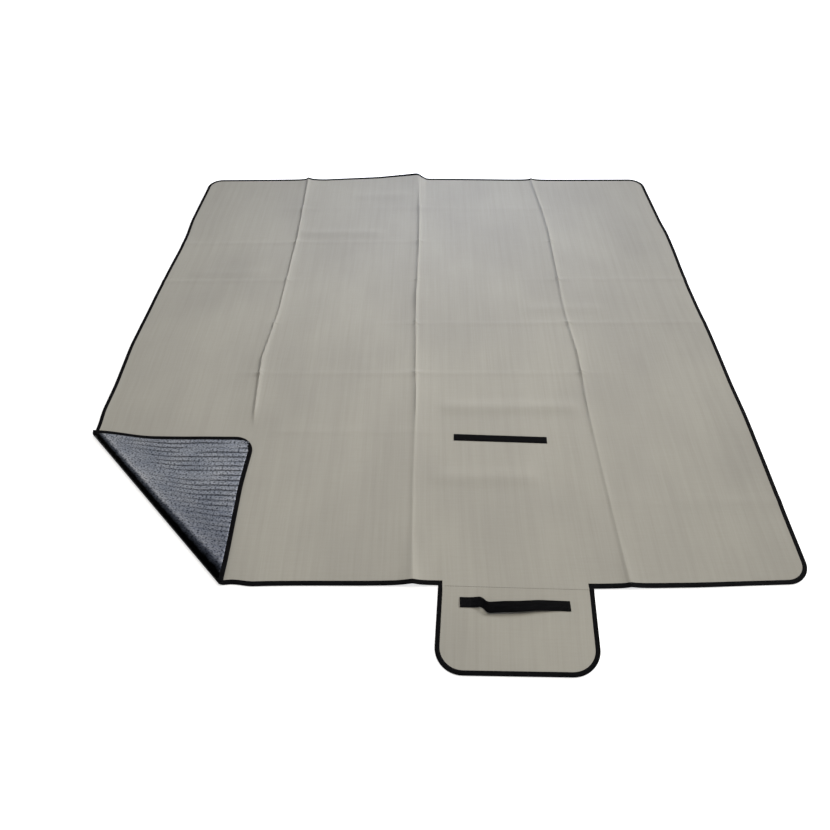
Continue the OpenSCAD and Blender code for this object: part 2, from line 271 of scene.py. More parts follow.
def roll_over(p, turn, up):
    """A point of the roll: p along the fold, turn from 0 underneath to pi on top, then flat."""
    r = ROLL_R - up
    inset = ROLL_R * np.sin(turn)
    past = np.maximum(turn - math.pi, 0)
    turn = np.minimum(turn, math.pi)
    p = inset + p * (FOLD_LEN - 2 * inset) / FOLD_LEN
    out = r * np.sin(turn) - past * ROLL_R
    spot = FOLD_A + p[..., None] * FOLD_ALONG + out[..., None] * FOLD_OUT
    z = ROLL_R - r * np.cos(turn) - math.tan(TIP_FALL) * past * ROLL_R
    return np.concatenate([pull(spot), z[..., None]], -1)


tip = turn_over(np.array([LEFT]), np.array([FRONT]), np.array([0.0]))[0]
print("corner's tip lies at, mm", np.round(tip / MM, 1))


# %% [markdown]
# ## Colour and nodes
# Colours are written as sRGB hex and turned to linear by one function. One small function adds a
# node with its settings and its links, and every material is built with it. Every pattern is placed
# by the piece's flat coordinates in metres, so it keeps one size on every piece.

# %% Helpers for materials
def rgb(code):
    parts = [int(code[i:i + 2], 16) / 255 for i in (1, 3, 5)]
    return [c / 12.92 if c <= 0.04045 else ((c + 0.055) / 1.055) ** 2.4 for c in parts] + [1.0]


def add(tree, kind, settings=None, **inputs):
    """Adds a node and gives its first output. An input is named by its label, or by in0, in1."""
    made = tree.nodes.new("ShaderNode" + kind)
    for name, value in (settings or {}).items():
        if name == "stops":
            while len(made.color_ramp.elements) < len(value):
                made.color_ramp.elements.new(0.5)
            for element, (place, code) in zip(made.color_ramp.elements, value):
                element.position, element.color = place, rgb(code)
        else:
            setattr(made, name, value)
    for name, value in inputs.items():
        labels = [s for s in made.inputs if s.name.lower().replace(" ", "_") == name and s.enabled]
        sock = labels[0] if labels else made.inputs[int(name[2:])]
        if isinstance(value, bpy.types.NodeSocket):
            tree.links.new(value, sock)
        else:
            sock.default_value = value
    return next(s for s in made.outputs if s.enabled)


def surface(name, **values):
    """A new material with its main shader, whose constants sit on its own sockets."""
    material = bpy.data.materials.new(name)
    material.use_nodes = True
    tree = material.node_tree
    shader = tree.nodes["Principled BSDF"]
    for label, value in values.items():
        shader.inputs[label.replace("_", " ").title().replace("Ior", "IOR")].default_value = value
    return material, tree, shader


TIMES, PLUS = {"operation": "MULTIPLY"}, {"operation": "ADD"}
MULTIPLY = {"data_type": "RGBA", "blend_type": "MULTIPLY"}
OVER = {"data_type": "RGBA", "blend_type": "MIX"}


def flat_axes(tree):
    """The piece's own flat coordinates, in metres: both together, then along X and along Y."""
    uv = add(tree, "UVMap", {"uv_map": "flat"})
    u = add(tree, "SeparateXYZ", vector=uv)
    return uv, u, u.node.outputs[1]


def yarns(tree, axis, spacing):
    """A row of round yarns: a sine across an axis, one period for each yarn."""
    turns = add(tree, "Math", TIMES, in0=axis, in1=2 * math.pi / spacing)
    return add(tree, "Math", {"operation": "SINE"}, in0=turns)


def uneven(tree, vector, size, detail=2.0):
    """The unevenness of a material, as noise with the given grain size along X and Y, in metres."""
    scaled = add(tree, "Mapping", vector=vector, scale=[1 / size[0], 1 / size[1], 1.0])
    return add(tree, "TexNoise", vector=scaled, scale=1.0, detail=detail)


print("node helpers ready; mid grey in linear light is", round(rgb("#808080")[0], 3))

# %% [markdown]
# ## Materials
# The top is plain-woven polyester in a warm light grey, with a matt face and hardly any sheen. Its
# yarns are uneven in thickness, so the cloth shows fine streaks both ways: longer ones along the
# mat, which is the warp, and shorter ones across. Real yarns are 0.4 mm apart, too fine to show, so
# the raised weave is drawn at 5 mm and the streaks at 4 mm.

# %% Woven polyester top
def woven_polyester():
    material, tree, shader = surface("woven_polyester", roughness=0.86, sheen_weight=0.10,
                                     specular_ior_level=0.22)
    uv, u, v = flat_axes(tree)
    dye = add(tree, "ValToRGB", {"stops": [(0.35, "#9f9c93"), (0.65, "#a6a399")]},
              fac=uneven(tree, uv, (0.30, 0.40)))
    warp = add(tree, "ValToRGB", {"stops": [(0.30, "#efeeec"), (0.66, "#ffffff")]},
               fac=uneven(tree, uv, (0.0040, 0.13), 3.0))
    weft = add(tree, "ValToRGB", {"stops": [(0.30, "#f1f0ee"), (0.66, "#ffffff")]},
               fac=uneven(tree, uv, (0.070, 0.0046), 3.0))
    broad = add(tree, "ValToRGB", {"stops": [(0.35, "#eeeeec"), (0.60, "#ffffff")]},
                fac=uneven(tree, uv, (0.016, 0.9)))
    colour = add(tree, "Mix", MULTIPLY, factor=0.30, a=dye, b=warp)
    colour = add(tree, "Mix", MULTIPLY, factor=0.22, a=colour, b=weft)
    colour = add(tree, "Mix", MULTIPLY, factor=0.28, a=colour, b=broad)
    tree.links.new(colour, shader.inputs["Base Color"])
    weave = add(tree, "Math", TIMES, in0=yarns(tree, u, 5 * MM), in1=yarns(tree, v, 5 * MM))
    bump = add(tree, "Bump", height=weave, distance=0.25 * MM, strength=0.15)
    tree.links.new(bump, shader.inputs["Normal"])
    return material


WOVEN = woven_polyester()
print(WOVEN.name, "is made of", len(WOVEN.node_tree.nodes), "nodes")

# %% [markdown]
# The foam is closed-cell polyethylene: pale, dull and faintly pitted by its cut cells, which are
# about 1 mm wide and drawn at 3 mm. It shows only at cut edges.

# %% Polyethylene foam
def polyethylene_foam():
    material, tree, shader = surface("polyethylene_foam", roughness=0.8, specular_ior_level=0.3)
    uv = add(tree, "UVMap", {"uv_map": "flat"})
    cells = uneven(tree, uv, (0.003, 0.003), 3.0)
    pale = add(tree, "ValToRGB", {"stops": [(0.3, "#d5d5cf"), (0.7, "#e6e6e1")]}, fac=cells)
    tree.links.new(pale, shader.inputs["Base Color"])
    bump = add(tree, "Bump", height=cells, distance=0.3 * MM, strength=0.5)
    tree.links.new(bump, shader.inputs["Normal"])
    return material


FOAM = polyethylene_foam()
print(FOAM.name, "is made of", len(FOAM.node_tree.nodes), "nodes")

# %% [markdown]
# The underside is polyester film metallised with aluminium, heat-sealed to the foam in long ribs.
# It mirrors softly and a little blue, and a fine crackle dulls it. The grooves between the ribs are
# 17 mm apart and wander, because the film shrank unevenly as it was sealed. They are painted dark,
# as painted shade in the recesses, and the painted shade fades in places.
# The crackle is about 1 mm wide in the real film and drawn at 3 to 4 mm. Along the corner's fold the
# film is painted black, as painted shade, with a narrow painted highlight just beyond it, and the band
# is wider towards the front edge. The folded film is also painted a little darker along the fold
# towards the front, as painted shade.

# %% Metallised ribbed film
RIB = 17 * MM


def aluminised_film(name, folded):
    material, tree, shader = surface(name, metallic=1.0, roughness=0.42)
    uv, u, v = flat_axes(tree)
    wander = add(tree, "Math", TIMES, in0=uneven(tree, uv, (0.06, 0.12)), in1=9 * MM)
    across = add(tree, "Math", PLUS, in0=u, in1=wander)
    turns = add(tree, "Math", TIMES, in0=across, in1=math.pi / RIB)
    wave = add(tree, "Math", {"operation": "SINE"}, in0=turns)
    rib = add(tree, "Math", {"operation": "ABSOLUTE"}, in0=wave)
    # Painted glints: fine light and dark flecks in the film's colour stand in for its sparkle.
    painted_glints = add(tree, "ValToRGB", {"stops": [(0.33, "#555c68"), (0.54, "#ffffff")]},
                  fac=uneven(tree, uv, (0.0036, 0.0062), 5.0))
    bluish = add(tree, "ValToRGB", {"stops": [(0.3, "#a3b1cc"), (0.7, "#f6f8ff")]},
                 fac=uneven(tree, uv, (0.05, 0.07), 3.0))
    colour = add(tree, "Mix", MULTIPLY, factor=0.50, a=painted_glints, b=bluish)
    # Painted shade: this mask is high in the grooves between the ribs, where the colour is painted dark.
    groove_shade = add(tree, "ValToRGB", {"stops": [(0.0, "#ffffff"), (0.78, "#000000")]}, fac=rib)
    kept = add(tree, "ValToRGB", {"stops": [(0.34, "#000000"), (0.50, "#ffffff")]},
               fac=uneven(tree, uv, (0.035, 0.16)))
    depth = add(tree, "Math", TIMES, in0=kept, in1=groove_shade)
    if folded:
        reach = add(tree, "Math", PLUS, in0=u, in1=v)
        off = add(tree, "Math", {"operation": "SUBTRACT"}, in0=FRONT + LEFT + FOLD_LEG, in1=reach)
        nearby = add(tree, "MapRange", value=off, from_min=0.05, from_max=0.20, to_min=0.20, to_max=1.0)
        depth = add(tree, "Math", TIMES, in0=depth, in1=nearby)
    # The grooves get the dark colour #12161e as painted shade. It is weaker near the corner's fold and fades
    # in places.
    strength = add(tree, "Math", TIMES, in0=depth, in1=0.85)
    colour = add(tree, "Mix", OVER, factor=strength, a=colour, b=rgb("#12161e"))
    # Painted shade and a painted highlight along the corner's fold: darker towards the front, black at the
    # fold, then a narrow light band.
    if folded:
        run = add(tree, "MapRange", value=u, from_min=LEFT, from_max=LEFT + FOLD_LEG)
        shade = add(tree, "ValToRGB", {"stops": [(0.30, "#ffffff"), (0.90, "#a9acb5")]}, fac=run)
        colour = add(tree, "Mix", MULTIPLY, factor=1.0, a=colour, b=shade)
        narrow = add(tree, "MapRange", value=run, to_min=2.4 / (math.sqrt(2) * 0.1),
                     to_max=0.9 / (math.sqrt(2) * 0.1))
        fold_shade_place = add(tree, "Math", {"operation": "MULTIPLY_ADD"}, in0=off, in1=narrow,
                     in2=add(tree, "Math", TIMES, in0=uneven(tree, uv, (0.02, 0.02), 3.0), in1=0.16))
        band = add(tree, "ValToRGB", {"stops": [(0.0, "#000000"), (0.17, "#040405"), (0.34, "#7a7e86"),
                                                (0.46, "#ffffff"), (0.80, "#e2e5ea")]}, fac=fold_shade_place)
        colour = add(tree, "Mix", MULTIPLY, factor=1.0, a=colour, b=band)
    tree.links.new(colour, shader.inputs["Base Color"])
    ribs = add(tree, "Bump", height=rib, distance=1.2 * MM, strength=0.6)
    crackle = add(tree, "TexVoronoi", {"feature": "DISTANCE_TO_EDGE"}, vector=uv, scale=330.0)
    bump = add(tree, "Bump", height=crackle, distance=0.3 * MM, strength=0.4, normal=ribs)
    tree.links.new(bump, shader.inputs["Normal"])
    return material


FILM = aluminised_film("aluminised_film", False)
FOLDED_FILM = aluminised_film("folded_aluminised_film", True)
print("film ribs every", round(RIB / MM), "mm;", FILM.name, FOLDED_FILM.name)

# %% [markdown]
# The binding is black woven polyester tape, pressed flat by its stitches. The webbing is coarser
# polypropylene with a ribbed face. Both are dull, and dust makes their black a little uneven. Real
# tape yarns are 0.5 mm apart and webbing ribs about 1.5 mm; both are drawn wider so that they show.
# The thread is the same polyester, twisted, with a slight gloss; its twist is drawn at 1.2 mm.

# %% Woven tapes and thread
def black_textile(name, dark, light, across, lengthwise, depth, roughness):
    material, tree, shader = surface(name, roughness=roughness, specular_ior_level=0.06)
    uv, u, v = flat_axes(tree)
    dust = add(tree, "ValToRGB", {"stops": [(0.3, dark), (0.7, light)]},
               fac=uneven(tree, uv, (0.03, 0.006), 3.0))
    tree.links.new(dust, shader.inputs["Base Color"])
    ribs = add(tree, "Math", TIMES, in0=yarns(tree, u, lengthwise), in1=yarns(tree, v, across))
    bump = add(tree, "Bump", height=ribs, distance=depth, strength=0.7)
    tree.links.new(bump, shader.inputs["Normal"])
    return material


TAPE = black_textile("polyester_tape", "#030304", "#0e0e10", 1.6 * MM, 2.4 * MM, 0.25 * MM, 0.8)
WEBBING = black_textile("polypropylene_webbing", "#030304", "#0d0d0f", 2.2 * MM, 3.0 * MM, 0.5 * MM, 0.75)
GREY_THREAD = black_textile("grey_polyester_thread", "#57564f", "#6b6a62", 0.6 * MM, 1.2 * MM, 0.1 * MM, 0.6)
THREAD = black_textile("polyester_thread", "#101012", "#232326", 0.6 * MM, 1.2 * MM, 0.1 * MM, 0.6)
print("textiles", [made.name for made in (TAPE, WEBBING, GREY_THREAD, THREAD)])

# %% [markdown]
# The loop side of the closure is a brushed nylon pile. Its loops stand in a dense, tangled mat, so
# the bump is a fine noise instead of yarns, drawn at 2 mm where real loops are 0.5 mm. The hook
# side is moulded nylon, smooth and slightly glossy, with a faint unevenness from the mould.

# %% Loop pile and moulded hooks
def loop_nylon():
    material, tree, shader = surface("loop_nylon", roughness=0.95, specular_ior_level=0.08)
    uv = add(tree, "UVMap", {"uv_map": "flat"})
    tangle = uneven(tree, uv, (0.002, 0.002), 4.0)
    black = add(tree, "ValToRGB", {"stops": [(0.3, "#030304"), (0.7, "#0f0f11")]}, fac=tangle)
    tree.links.new(black, shader.inputs["Base Color"])
    bump = add(tree, "Bump", height=tangle, distance=1.0 * MM, strength=1.0)
    tree.links.new(bump, shader.inputs["Normal"])
    return material


def hook_nylon():
    material, tree, shader = surface("hook_nylon", roughness=0.45, ior=1.53)
    uv = add(tree, "UVMap", {"uv_map": "flat"})
    mould = uneven(tree, uv, (0.004, 0.004))
    black = add(tree, "ValToRGB", {"stops": [(0.3, "#121214"), (0.7, "#202023")]}, fac=mould)
    tree.links.new(black, shader.inputs["Base Color"])
    bump = add(tree, "Bump", height=mould, distance=0.1 * MM, strength=0.3)
    tree.links.new(bump, shader.inputs["Normal"])
    return material


PILE = loop_nylon()
HOOKS = hook_nylon()
print("closure materials", PILE.name, HOOKS.name)

# %% [markdown]
# ## Building meshes from a flat cut
# A piece is a set of flat points, the polygons between them, and a lower and an upper height. The
# builder places both faces, closes the sides, and keeps the flat position as a UV map in metres,
# so that a weave never stretches where the sheet bends. Tapes and webbing are swept instead, ring by
# ring, because their section matters more than their outline.

# %% Mesh builders
def make_object(name, points, polygons, uvs, materials, slots):
    mesh = bpy.data.meshes.new(name)
    mesh.from_pydata([tuple(p) for p in points], [], polygons)
    layer = mesh.uv_layers.new(name="flat")
    corner = np.zeros(len(mesh.loops), int)
    mesh.loops.foreach_get("vertex_index", corner)
    layer.data.foreach_set("uv", np.asarray(uvs, float)[corner].ravel())
    for material in materials:
        mesh.materials.append(material)
    mesh.polygons.foreach_set("material_index", slots)
    mesh.polygons.foreach_set("use_smooth", [True] * len(polygons))
    mesh.update()
    made = bpy.data.objects.new(name, mesh)
    bpy.context.scene.collection.objects.link(made)
    return made


def sharpen(made, degrees=50):
    """Keeps the shading of the flat faces apart from the sides."""
    made.data.set_sharp_from_angle(angle=math.radians(degrees))


def quads(rows, columns):
    """The four-sided faces of a plain grid of points."""
    return [[i * columns + j, (i + 1) * columns + j, (i + 1) * columns + j + 1, i * columns + j + 1]
            for i in range(rows - 1) for j in range(columns - 1)]


def slab(name, flat, polygons, low, high, place, materials):
    """A closed sheet: its upper face has the first material, the rest has the second."""
    used = sorted({i for p in polygons for i in p})
    new = {old: i for i, old in enumerate(used)}
    polygons = [[new[i] for i in p] for p in polygons]
    x, y = flat[used].T
    points = np.concatenate([place(x, y, high(x, y)), place(x, y, low(x, y))])
    n = len(used)
    rim = {}
    for p in polygons:
        for a, b in zip(p, p[1:] + p[:1]):
            if (b, a) in rim:
                del rim[(b, a)]
            else:
                rim[(a, b)] = True
    faces = polygons + [[i + n for i in reversed(p)] for p in polygons]
    faces += [[b, a, a + n, b + n] for a, b in rim]
    slots = [0] * len(polygons) + [1] * (len(polygons) + len(rim))
    uvs = np.concatenate([flat[used], flat[used]])
    made = make_object(name, points, faces, uvs, materials, slots)
    sharpen(made)
    return made


def sweep(name, rings, materials, uv_rings):
    """Joins equal rings of points into a tube with closed ends; each ring is a closed outline."""
    count, size = len(rings), len(rings[0])
    points = np.concatenate(rings)
    faces = []
    for i in range(count - 1):
        for j in range(size):
            k = (j + 1) % size
            faces.append([i * size + j, i * size + k, (i + 1) * size + k, (i + 1) * size + j])
    faces.append(list(range(size))[::-1])
    faces.append([(count - 1) * size + j for j in range(size)])
    made = make_object(name, points, faces, np.concatenate(uv_rings), materials, [0] * len(faces))
    sharpen(made)
    return made


print("a slab of 2 x 3 points has", len(quads(2, 3)), "cells on each face")

# %% [markdown]
# ## The cutting grid
# All sheets are cut from one grid of lines, so neighbours share their points. The lines are closer
# where the creases bend and where the rows cross them. TUCK holds the lines that follow the edge, at
# distances in from it: the raw edge inside the tape, and the step by which the film climbs onto it.

# %% Grid lines and rounded corners
TUCK = [0.8 * MM, 11.6 * MM, 13.6 * MM]
CELL, FINE = 12.5 * MM, 3.2 * MM


def fill(stops, zones=()):
    """Fills the gaps between fixed lines with even steps, finer inside the zones."""
    stops = sorted(set(round(v, 7) for v in stops))
    lines = []
    for a, b in zip(stops, stops[1:]):
        inside = any(low < (a + b) / 2 < high for low, high in zones)
        steps = max(1, math.ceil((b - a) / (FINE if inside else CELL) - 1e-6))
        lines += [a + (b - a) * i / steps for i in range(steps)]
    return np.array(lines + [stops[-1]])


leg_zone = FOLD_LEG - 0.06
legs = fill(TUCK + [leg_zone] + [FOLD_LEG - t for t in TUCK] + [FOLD_LEG], [(leg_zone, FOLD_LEG)])
flap_lines = [FLAP_LEFT + t for t in TUCK] + [FLAP_RIGHT - t for t in TUCK]
# The stretches of X in which a crease stands or bends.
zones = [(FOLD_B[0], -0.470), (-0.060, 0.048), (0.475, 0.560)]
stops = [x for zone in zones for x in zone] + [-SEAM, 0.0, SEAM, RIGHT - COLUMN] + flap_lines
right_lines = fill(stops + [RIGHT - t for t in TUCK], zones)
X_LINES = np.concatenate([LEFT + legs[:-1], right_lines])
crossings = [FRONT + ROW * k + d for k in range(3, 7) for d in (-0.022, 0.022)]
crossing_zones = [(a, a + 0.044) for a in crossings[::2]]
Y_LINES = np.concatenate([[FRONT], FRONT + FOLD_LEG - legs[::-1][1:],
                          fill([FRONT + FOLD_LEG, BACK - 0.1] + crossings + [BACK - t for t in TUCK],
                               [(BACK - 0.1, BACK)] + crossing_zones)])
flap_mid = FRONT - SPINE
tongue_bend = FRONT - 0.14
root_lines = fill([flap_mid, FRONT], [(flap_mid, FRONT)])
tongue_lines = fill([FLAP_END + t for t in TUCK] + [tongue_bend, flap_mid], [(tongue_bend, flap_mid)])


def round_corners(x, y):
    """Pulls the square corner blocks of the grid into quarter discs."""
    x, y = x.copy(), y.copy()
    spots = [(LEFT, BACK, -1, 1, CORNER_R), (RIGHT, BACK, 1, 1, CORNER_R), (LEFT, FRONT, -1, -1, CORNER_R),
             (RIGHT, FRONT, 1, -1, CORNER_R), (FLAP_LEFT, FLAP_END, -1, -1, FLAP_R),
             (FLAP_RIGHT, FLAP_END, 1, -1, FLAP_R)]
    for cx, cy, sx, sy, r in spots:
        mx, my, reach = cx - sx * r, cy - sy * r, r - TUCK[0]
        a, b = (x - mx) * sx / reach, (y - my) * sy / reach
        here = (a > 0) & (b > 0) & (a < 1.01) & (b < 1.01)
        a, b = np.clip(a, 0, 1), np.clip(b, 0, 1)
        x = np.where(here, mx + sx * reach * a * np.sqrt(1 - b * b / 2), x)
        y = np.where(here, my + sy * reach * b * np.sqrt(1 - a * a / 2), y)
    return x, y


def edge_gap(x, y):
    """Distance from a point of the flat cut to the bound edge."""
    side = np.minimum(x - FLAP_LEFT, FLAP_RIGHT - x)
    front = np.where(side > 0, np.maximum(side, y - FRONT), y - FRONT)
    gap = np.minimum(np.minimum(x - LEFT, RIGHT - x), np.minimum(BACK - y, front))
    return np.where(y < FRONT, np.minimum(side, y - FLAP_END), gap)


def step_up(gap):
    """The step by which the lower layers climb onto the tape's lower leg, from the edge's distance."""
    return (TAPE_T + LAP) * (1 - smooth((gap - TUCK[1]) / (TUCK[2] - TUCK[1])))


def film_low(x, y):
    return step_up(edge_gap(x, y))


def film_high(x, y):
    return film_low(x, y) + FILM_T


def cloth_high(x, y):
    return np.full_like(x, BODY_T)


def cut(xs, ys, keep):
    """Grid points and polygons; keep(xc, yc) says whether a cell stays, or is halved."""
    gx, gy = np.meshgrid(xs, ys, indexing="ij")
    rx, ry = round_corners(gx.ravel(), gy.ravel())
    n = len(ys)
    polygons = []
    for i in range(len(xs) - 1):
        for j in range(n - 1):
            part = keep((xs[i] + xs[i + 1]) / 2, (ys[j] + ys[j + 1]) / 2)
            a, b, c, d = i * n + j, (i + 1) * n + j, (i + 1) * n + j + 1, i * n + j + 1
            if part == "all":
                polygons.append([a, b, c, d])
            elif part == "upper":
                polygons.append([d, b, c])
            elif part == "lower":
                polygons.append([a, b, d])
    return np.stack([rx, ry], -1), polygons


def keep_mat(xc, yc):
    if yc < FRONT + TUCK[0] and not FLAP_LEFT + TUCK[0] < xc < FLAP_RIGHT - TUCK[0]:
        return None
    if xc > FOLD_B[0] or yc > FRONT + FOLD_LEG:
        return "all"
    side = past_fold(xc, yc)
    return "upper" if abs(side) < 1e-6 else ("all" if side > 0 else None)


def keep_corner(xc, yc):
    if yc < FRONT + TUCK[0]:
        return None
    side = past_fold(xc, yc)
    return "lower" if abs(side) < 1e-6 else ("all" if side < 0 else None)


def keep_all(xc, yc):
    return "all"


def between(lines, low, high):
    return lines[(lines > low - 1e-6) & (lines < high + 1e-6)]


print("grid", len(X_LINES), "x", len(Y_LINES), "lines")

# %% [markdown]
# ## The sheets
# The mat is cut into three wide pieces with one crease each, because a piece can bend between two
# bodies only. Each piece is a woven face glued to foam, with the film as a piece
# of its own underneath. A bend needs a strip about three times as wide as its fold axis is high.

# %% Mat sheets
def over_crease():
    """A function for a piece along a crease that runs along Y; it only bakes the piece's placement into its
    points, and neither bends it nor joins it to a body.
    """
    return lambda piece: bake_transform(piece)


def sheet_pair(name, grid, place, columns, underside=FILM):
    """The cloth-and-foam sheet and the film sheet over one part of the cutting grid."""
    flat, polygons = grid
    cloth = slab(name + "_cloth", flat, polygons, film_high, cloth_high, place, [WOVEN, FOAM])
    film = slab(name + "_film", flat, polygons, film_low, film_high, place, [FOAM, underside])
    for column in columns:
        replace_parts(cloth, column + "_fabric", column + "_foam")
        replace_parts(film, column + "_film")
    print(name, len(polygons), "cells")
    return cloth, film


left_grid = cut(between(X_LINES, LEFT, -SEAM), Y_LINES, keep_mat)
middle_grid = cut(between(X_LINES, -SEAM, SEAM), Y_LINES, keep_mat)
right_grid = cut(between(X_LINES, SEAM, RIGHT), Y_LINES, keep_mat)
over_left = over_crease()
over_middle = over_crease()
over_right = over_crease()
SHEETS = {
    "left_sheet": (left_grid, over_left, ["left"]),
    "middle_sheet": (middle_grid, over_middle, ["inner_left", "inner_right"]),
    "right_sheet": (right_grid, over_right, ["right"]),
}
made_sheets = {}
for name, (grid, bend, columns) in SHEETS.items():
    made_sheets[name] = sheet_pair(name, grid, lie, columns)
    for piece in made_sheets[name]:
        bend(piece)

# %% [markdown]
# The turned corner is a triangle of the same grid, carried over the fold. It rides on its own body.
# The roll joins it to the mat: it follows the mat at its bottom and the corner at its top.

# %% Corner sheet and roll
corner_grid = cut(between(X_LINES, LEFT, FOLD_B[0]), between(Y_LINES, FRONT, FRONT + FOLD_LEG), keep_corner)
corner_pair = sheet_pair("corner_sheet", corner_grid, turn_over, ["corner"], FOLDED_FILM)
for piece in corner_pair:
    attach(piece, "corner")
ROLL_TURNS = np.append(np.linspace(0, math.pi, 13), math.pi + 1.5 * MM / ROLL_R)


def bend_roll(piece):
    """Bakes the roll's placement into its points; the roll is joined to no body."""
    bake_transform(piece)


def roll_mesh(name, low, high, materials):
    """A strip round the fold: columns along the fold, rows round the half turn."""
    ps = legs * math.sqrt(2)
    ps = ps[(ps > 1.0 * MM) & (ps < FOLD_LEN - 1.0 * MM)]
    gp, gt = np.meshgrid(ps, ROLL_TURNS, indexing="ij")
    flat = np.stack([gp.ravel(), gt.ravel()], -1)
    made = slab(name, flat, quads(len(ps), len(ROLL_TURNS)), low, high, roll_over, materials)
    arc = np.array([d.uv[:] for d in made.data.uv_layers["flat"].data])
    spot = FOLD_A + arc[:, :1] * FOLD_ALONG + (arc[:, 1:] - math.pi) * ROLL_R * FOLD_OUT
    made.data.uv_layers["flat"].data.foreach_set("uv", spot.ravel())
    bend_roll(made)
    return made


def step_at_ends(p):
    """The film's step onto the tape at both ends of the roll."""
    return step_up(np.minimum(p, FOLD_LEN - p) / math.sqrt(2))


roll_cloth = roll_mesh("roll_cloth", lambda p, t: step_at_ends(p) + FILM_T,
                       lambda p, t: np.full_like(p, BODY_T), [WOVEN, FOAM])
# The roll's film lies wholly inside the painted black fold shade, so it is painted black all round.
roll_film = roll_mesh("roll_film", lambda p, t: step_at_ends(p),
                      lambda p, t: step_at_ends(p) + FILM_T, [FOAM, FOLDED_FILM])
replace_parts(roll_film, "corner_roll")
print("roll", round(FOLD_LEN, 3), "m long,", round(2 * ROLL_R / MM, 1), "mm high")

# %% [markdown]
# The flap bends twice: at its root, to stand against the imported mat, and again to lie on top of
# it. So it is two pieces, which meet where neither of them bends.

# %% Flap sheets
flap_x = between(X_LINES, FLAP_LEFT, FLAP_RIGHT)
root_grid = cut(flap_x, root_lines, keep_all)
tongue_grid = cut(flap_x, tongue_lines, keep_all)
root_pair = sheet_pair("flap_root_sheet", root_grid, lie, ["spine"])
tongue_pair = sheet_pair("flap_tongue_sheet", tongue_grid, lie, ["tongue"])


def over_root(piece):
    """Bakes a piece's placement into its points; the piece is not bent at the flap's root."""
    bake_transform(piece)


def over_tongue(piece):
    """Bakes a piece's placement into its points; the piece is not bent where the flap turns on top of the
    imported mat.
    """
    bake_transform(piece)


for piece in root_pair:
    over_root(piece)
for piece in tongue_pair:
    over_tongue(piece)

# %% [markdown]
# ## Binding
# One tape is folded round the raw edge and sewn through. Its section is a flat C with a rounded
# outside. It is swept along the edge as it was cut, then laid with the same placing function as
# the sheets, so it rises over every ridge with them. At the diagonal fold its section is mitred.

# %% Edge paths
def straight(a, b, inward, step=5 * MM):
    """Points from a to b with one inward direction; the last point is left out."""
    a, b = np.array(a, float), np.array(b, float)
    n = max(1, round(float(np.linalg.norm(b - a)) / step))
    return [(a + (b - a) * i / n, np.array(inward, float)) for i in range(n)]


def arc(centre, r, start, end, step=8 * MM):
    """Points round a corner, with the centre as the inward direction."""
    n = max(4, round(abs(math.radians(end - start)) * r / step))
    out = []
    for i in range(n):
        t = math.radians(start + (end - start) * i / n)
        ray = np.array([math.cos(t), math.sin(t)])
        out.append((np.array(centre) + r * ray, -ray))
    return out


def stop(a, inward):
    """The single point that ends a path."""
    return [(np.array(a, float), np.array(inward, float))]


def round_box(x0, y0, x1, y1):
    """A closed path round a strip."""
    sides = (((x0, y0), (x1, y0), UPWARD), ((x1, y0), (x1, y1), LEFTWARD),
             ((x1, y1), (x0, y1), DOWNWARD), ((x0, y1), (x0, y0), RIGHTWARD))
    path = []
    for a, b, inward in sides:
        path += straight(a, b, inward)
    return path + stop((x0, y0), UPWARD)


def run_of(path):
    """Distances along a path, from its first point."""
    spots = np.array([p for p, _ in path])
    return np.concatenate([[0], np.cumsum(np.linalg.norm(np.diff(spots, axis=0), axis=1))])


UPWARD, DOWNWARD, RIGHTWARD, LEFTWARD = (0, 1), (0, -1), (1, 0), (-1, 0)
left_back_path = (
    stop(FOLD_A, (1, -1)) + straight(FOLD_A + (0, MITRE), (LEFT, BACK - CORNER_R), RIGHTWARD)
    + arc((LEFT + CORNER_R, BACK - CORNER_R), CORNER_R, 180, 90)
    + straight((LEFT + CORNER_R, BACK), (-SEAM, BACK), DOWNWARD) + stop((-SEAM, BACK), DOWNWARD))
left_front_path = (
    straight((-SEAM, FRONT), FOLD_B + (MITRE, 0), UPWARD) + stop(FOLD_B + (MITRE, 0), UPWARD)
    + stop(FOLD_B, (-1, 1)))
middle_back_path = straight((-SEAM, BACK), (SEAM, BACK), DOWNWARD) + stop((SEAM, BACK), DOWNWARD)
middle_front_path = (
    stop((FLAP_LEFT, FRONT), (1, 1))
    + straight((FLAP_LEFT - MITRE, FRONT), (-SEAM, FRONT), UPWARD) + stop((-SEAM, FRONT), UPWARD))
right_path = (
    straight((SEAM, BACK), (RIGHT - CORNER_R, BACK), DOWNWARD)
    + arc((RIGHT - CORNER_R, BACK - CORNER_R), CORNER_R, 90, 0)
    + straight((RIGHT, BACK - CORNER_R), (RIGHT, FRONT + CORNER_R), LEFTWARD)
    + arc((RIGHT - CORNER_R, FRONT + CORNER_R), CORNER_R, 0, -90)
    + straight((RIGHT - CORNER_R, FRONT), (FLAP_RIGHT + MITRE, FRONT), UPWARD)
    + stop((FLAP_RIGHT + MITRE, FRONT), UPWARD) + stop((FLAP_RIGHT, FRONT), (-1, 1)))
root_left_path = (
    stop((FLAP_LEFT, flap_mid), RIGHTWARD)
    + straight((FLAP_LEFT, flap_mid + 4 * MM), (FLAP_LEFT, FRONT - MITRE), RIGHTWARD, 4 * MM)
    + stop((FLAP_LEFT, FRONT - MITRE), RIGHTWARD) + stop((FLAP_LEFT, FRONT), (1, 1)))
root_right_path = (
    stop((FLAP_RIGHT, FRONT), (-1, 1)) + stop((FLAP_RIGHT, FRONT - MITRE), LEFTWARD)
    + straight((FLAP_RIGHT, FRONT - MITRE - 4 * MM), (FLAP_RIGHT, flap_mid), LEFTWARD, 4 * MM)
    + stop((FLAP_RIGHT, flap_mid), LEFTWARD))
